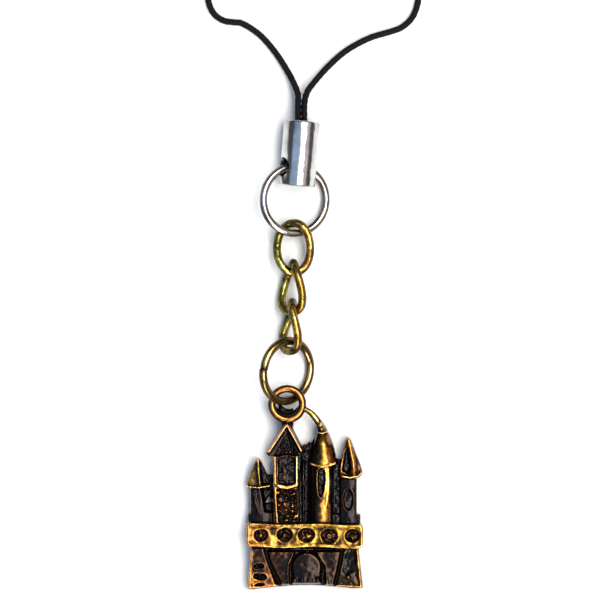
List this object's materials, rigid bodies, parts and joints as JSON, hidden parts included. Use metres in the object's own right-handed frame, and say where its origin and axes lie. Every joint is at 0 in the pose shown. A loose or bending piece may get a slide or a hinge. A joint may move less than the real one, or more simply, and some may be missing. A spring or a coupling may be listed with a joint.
{
  "type": "castle phone strap charm",
  "caption": "Castle charm in antique bronze on a short chain of rings and curb links, with a plated end cap and a thin black cord loop to tie it to a phone or bag.",
  "frame": {"origin": "on the castle's flat back, in the middle of its width, 10 mm above its foot; the whole charm lies on its back on this plane", "axes": "+Y from the castle's foot along the chain towards the cord loop, +Z out of the castle's relief side, +X to the right when the relief is seen from the front"},
  "size_m": [0.0288, 0.1106, 0.006],
  "materials": {
    "cord": "fine braided nylon, slight sheen",
    "plated": "bright nickel plating",
    "silver_ring": "slightly tarnished bright wire",
    "antique_brass": "antique brass with dark recesses and hammered spots",
    "antique_ring": "antique brass wire, polished on its ridge",
    "antique_bronze": "cast antique bronze, dark patina with bright worn edges"
  },
  "bodies": {
    "cap": {"ferrule": "plated", "cord_knot": "cord", "cord_loop": "cord"},
    "ferrule_ring": {"ferrule_ring": "silver_ring"},
    "link_1": {"link_1": "antique_brass"},
    "link_2": {"link_2": "antique_brass"},
    "link_3": {"link_3": "antique_brass"},
    "jump_ring": {"jump_ring": "antique_ring"},
    "castle": {"castle": "antique_bronze"}
  },
  "joints": [
    {"name": "ring_swing", "type": "hinge", "parent": "cap", "child": "ferrule_ring", "pos_m": [-0.00081, 0.04277, 0.00229], "axis": [0.8797, -0.0754, -0.4695], "range_deg": [-90, 90]},
    {"name": "link_1_slip", "type": "hinge", "parent": "ferrule_ring", "child": "link_1", "pos_m": [-0.00124, 0.03882, 0.00223], "axis": [0.3505, -0.0363, 0.9359], "range_deg": [-60, 60]},
    {"name": "link_2_swing", "type": "hinge", "parent": "link_1", "child": "link_2", "pos_m": [-0.0014, 0.02976, 0.00232], "axis": [0.9205, -0.0153, -0.3905], "range_deg": [-75, 75]},
    {"name": "link_3_swing", "type": "hinge", "parent": "link_2", "child": "link_3", "pos_m": [-0.00153, 0.02606, 0.00261], "axis": [-0.5443, 0.019, 0.8387], "range_deg": [-30, 30]},
    {"name": "jump_ring_swing", "type": "hinge", "parent": "link_3", "child": "jump_ring", "pos_m": [-0.00189, 0.01993, 0.00268], "axis": [0.6938, -0.0335, 0.7194], "range_deg": [-75, 75]},
    {"name": "castle_slip", "type": "hinge", "parent": "jump_ring", "child": "castle", "pos_m": [-0.00224, 0.01743, 0.00302], "axis": [0.638, -0.1219, 0.7603], "range_deg": [-60, 60]}
  ]
}
